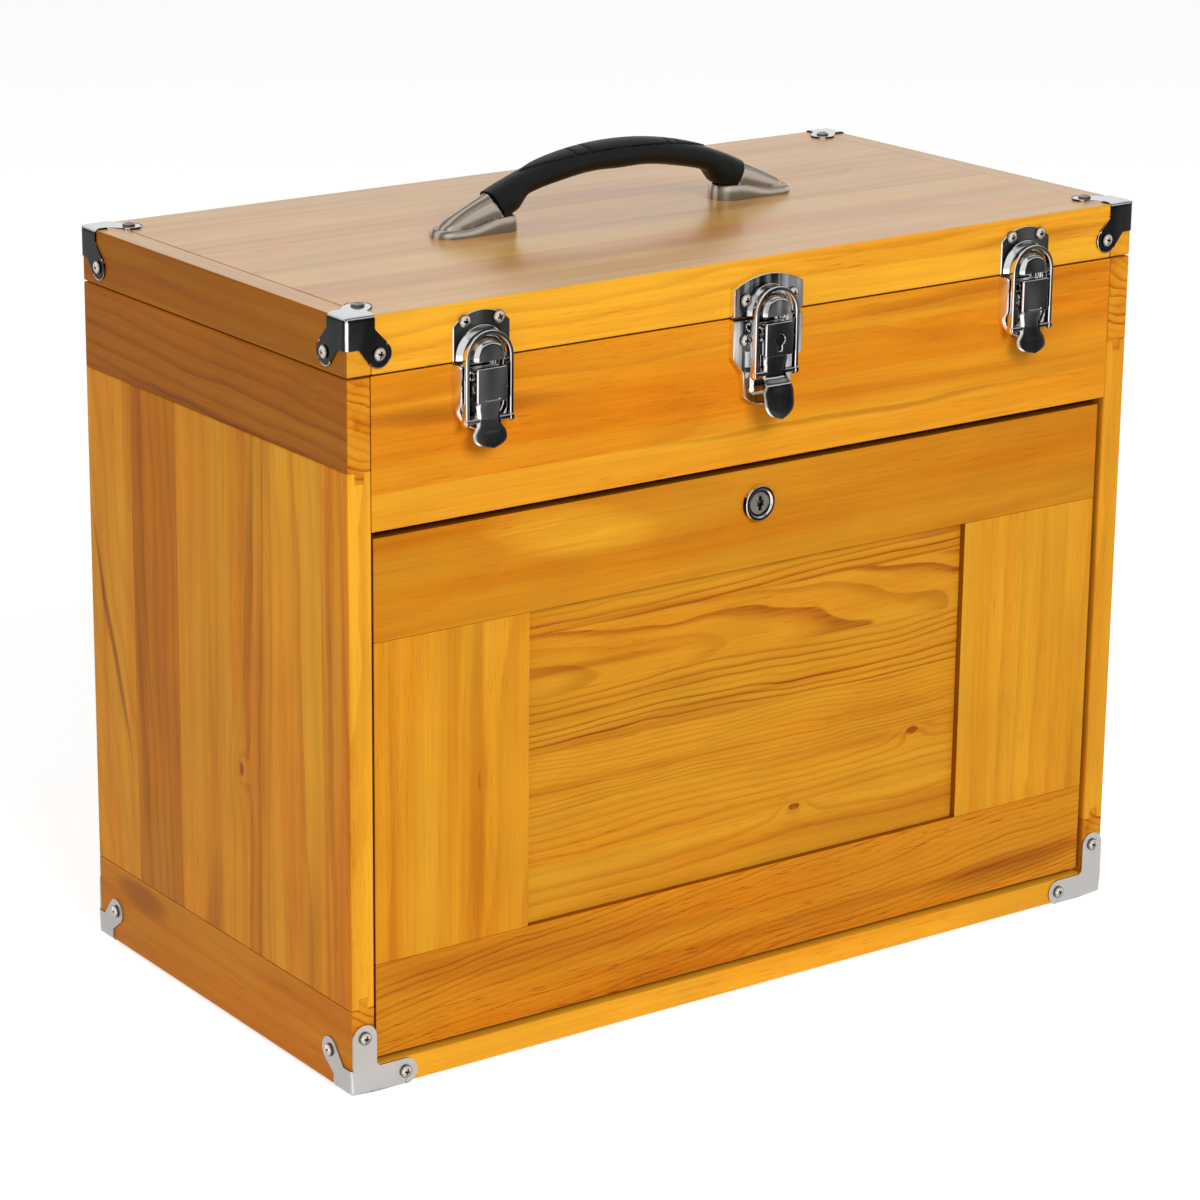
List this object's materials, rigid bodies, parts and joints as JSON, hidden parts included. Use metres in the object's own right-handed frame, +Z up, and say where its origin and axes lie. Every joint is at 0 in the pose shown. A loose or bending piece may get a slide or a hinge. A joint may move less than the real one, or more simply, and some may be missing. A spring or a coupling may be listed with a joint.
{
  "type": "wooden machinist toolbox",
  "caption": "Lacquered wooden toolbox with a hinged lid, drop front over a stack of drawers, chromed draw latches, corner brackets and an arched carrying handle.",
  "frame": {"origin": "centre of the base board's underside; the corner brackets reach 1 mm lower", "axes": "+X to the right along the width, -Y out of the front, +Z up"},
  "size_m": [0.5164, 0.2886, 0.447],
  "materials": {
    "case_wood": "clear honey-coloured lacquer",
    "lid_top_wood": "pale satin lacquer",
    "inner_wood": "satin lacquer",
    "chrome": "polished",
    "steel": "plain steel",
    "satin_nickel": "satin",
    "grip_plastic": "black, satin",
    "felt": "green felt"
  },
  "bodies": {
    "case": {"left_side_planks": "case_wood", "right_side_planks": "case_wood", "left_side_cleats": "case_wood", "right_side_cleats": "case_wood", "till_front_board": "case_wood", "base_board": "case_wood", "back_panel": "inner_wood", "till_floor": "inner_wood", "till_felt": "felt", "slot_deck": "inner_wood", "wide_shelf": "inner_wood", "drawer_partitions": "inner_wood", "small_shelves": "inner_wood", "bottom_corner_brackets": "steel", "case_screws": "chrome", "outer_latch_bases": "chrome", "centre_latch_base": "chrome", "latch_lever_pins": "steel", "case_hinge_leaves_and_pins": "chrome"},
    "lid": {"lid_side_rails": "case_wood", "lid_front_and_back_rails": "case_wood", "lid_top_planks": "lid_top_wood", "lid_felt": "felt", "lid_corner_brackets": "chrome", "lid_screws": "chrome", "lid_hinge_leaves": "chrome", "outer_catch_plates": "chrome", "centre_catch_plate": "chrome", "handle_end_brackets": "satin_nickel", "handle_grip": "grip_plastic", "handle_bolts": "steel"},
    "drop_front": {"front_rails": "case_wood", "front_stiles": "case_wood", "front_centre_panel": "case_wood", "front_pivot_pins": "steel", "front_lock_housing": "chrome"},
    "front_lock": {"front_lock_plug": "chrome"},
    "left_lever": {"left_latch_lever": "chrome"},
    "left_loop": {"left_latch_loop": "chrome"},
    "centre_lever": {"centre_latch_lever": "chrome"},
    "centre_loop": {"centre_latch_loop": "chrome"},
    "right_lever": {"right_latch_lever": "chrome"},
    "right_loop": {"right_latch_loop": "chrome"},
    "latch_bolt": {"centre_latch_bolt": "steel"},
    "left_lower_drawer": {"left_lower_drawer": "inner_wood", "left_lower_drawer_knob": "chrome"},
    "left_middle_drawer": {"left_middle_drawer": "inner_wood", "left_middle_drawer_knob": "chrome"},
    "left_upper_drawer": {"left_upper_drawer": "inner_wood", "left_upper_drawer_knob": "chrome"},
    "right_lower_drawer": {"right_lower_drawer": "inner_wood", "right_lower_drawer_knob": "chrome"},
    "right_middle_drawer": {"right_middle_drawer": "inner_wood", "right_middle_drawer_knob": "chrome"},
    "right_upper_drawer": {"right_upper_drawer": "inner_wood", "right_upper_drawer_knob": "chrome"},
    "middle_tall_drawer": {"middle_tall_drawer": "inner_wood", "middle_tall_drawer_knob": "chrome"},
    "wide_bottom_drawer": {"wide_bottom_drawer": "inner_wood", "wide_bottom_drawer_knobs": "chrome"}
  },
  "joints": [
    {"name": "lid_hinge", "type": "hinge", "parent": "case", "child": "lid", "pos_m": [0, 0.1359, 0.375], "axis": [-1, 0, 0], "range_deg": [0, 100]},
    {"name": "front_drop", "type": "hinge", "parent": "case", "child": "drop_front", "pos_m": [0, -0.12405, 0.0225], "axis": [1, 0, 0], "range_deg": [0, 90]},
    {"name": "front_lock_turn", "type": "hinge", "parent": "drop_front", "child": "front_lock", "pos_m": [0, -0.1325, 0.273], "axis": [0, 1, 0], "range_deg": [0, 90]},
    {"name": "left_lever_turn", "type": "hinge", "parent": "case", "child": "left_lever", "pos_m": [-0.177, -0.1385, 0.3685], "axis": [-1, 0, 0], "range_deg": [0, 95]},
    {"name": "left_loop_turn", "type": "hinge", "parent": "left_lever", "child": "left_loop", "pos_m": [-0.177, -0.13935, 0.3458], "axis": [-1, 0, 0], "range_deg": [-124, 0]},
    {"name": "centre_lever_turn", "type": "hinge", "parent": "case", "child": "centre_lever", "pos_m": [0, -0.141, 0.3685], "axis": [-1, 0, 0], "range_deg": [0, 95]},
    {"name": "centre_loop_turn", "type": "hinge", "parent": "centre_lever", "child": "centre_loop", "pos_m": [0, -0.14185, 0.3458], "axis": [-1, 0, 0], "range_deg": [-124, 0]},
    {"name": "right_lever_turn", "type": "hinge", "parent": "case", "child": "right_lever", "pos_m": [0.177, -0.1385, 0.3685], "axis": [-1, 0, 0], "range_deg": [0, 95]},
    {"name": "right_loop_turn", "type": "hinge", "parent": "right_lever", "child": "right_loop", "pos_m": [0.177, -0.13935, 0.3458], "axis": [-1, 0, 0], "range_deg": [-124, 0]},
    {"name": "latch_bolt_slide", "type": "slide", "parent": "centre_lever", "child": "latch_bolt", "axis": [0, 0, 1], "range_m": [0, 0.0025]},
    {"name": "left_lower_drawer_slide", "type": "slide", "parent": "case", "child": "left_lower_drawer", "axis": [0, -1, 0], "range_m": [0, 0.165]},
    {"name": "left_middle_drawer_slide", "type": "slide", "parent": "case", "child": "left_middle_drawer", "axis": [0, -1, 0], "range_m": [0, 0.165]},
    {"name": "left_upper_drawer_slide", "type": "slide", "parent": "case", "child": "left_upper_drawer", "axis": [0, -1, 0], "range_m": [0, 0.165]},
    {"name": "right_lower_drawer_slide", "type": "slide", "parent": "case", "child": "right_lower_drawer", "axis": [0, -1, 0], "range_m": [0, 0.165]},
    {"name": "right_middle_drawer_slide", "type": "slide", "parent": "case", "child": "right_middle_drawer", "axis": [0, -1, 0], "range_m": [0, 0.165]},
    {"name": "right_upper_drawer_slide", "type": "slide", "parent": "case", "child": "right_upper_drawer", "axis": [0, -1, 0], "range_m": [0, 0.165]},
    {"name": "middle_tall_drawer_slide", "type": "slide", "parent": "case", "child": "middle_tall_drawer", "axis": [0, -1, 0], "range_m": [0, 0.165]},
    {"name": "wide_bottom_drawer_slide", "type": "slide", "parent": "case", "child": "wide_bottom_drawer", "axis": [0, -1, 0], "range_m": [0, 0.165]}
  ],
  "couplings": [
    {"joint": "left_loop_turn", "follows": "left_lever_turn", "ratio": -1.3},
    {"joint": "centre_loop_turn", "follows": "centre_lever_turn", "ratio": -1.3},
    {"joint": "right_loop_turn", "follows": "right_lever_turn", "ratio": -1.3},
    {"joint": "left_lower_drawer_slide", "follows": "front_drop", "m_per_rad": 0.105},
    {"joint": "left_middle_drawer_slide", "follows": "front_drop", "m_per_rad": 0.105},
    {"joint": "left_upper_drawer_slide", "follows": "front_drop", "m_per_rad": 0.105},
    {"joint": "right_lower_drawer_slide", "follows": "front_drop", "m_per_rad": 0.105},
    {"joint": "right_middle_drawer_slide", "follows": "front_drop", "m_per_rad": 0.105},
    {"joint": "right_upper_drawer_slide", "follows": "front_drop", "m_per_rad": 0.105},
    {"joint": "middle_tall_drawer_slide", "follows": "front_drop", "m_per_rad": 0.105},
    {"joint": "wide_bottom_drawer_slide", "follows": "front_drop", "m_per_rad": 0.028}
  ]
}
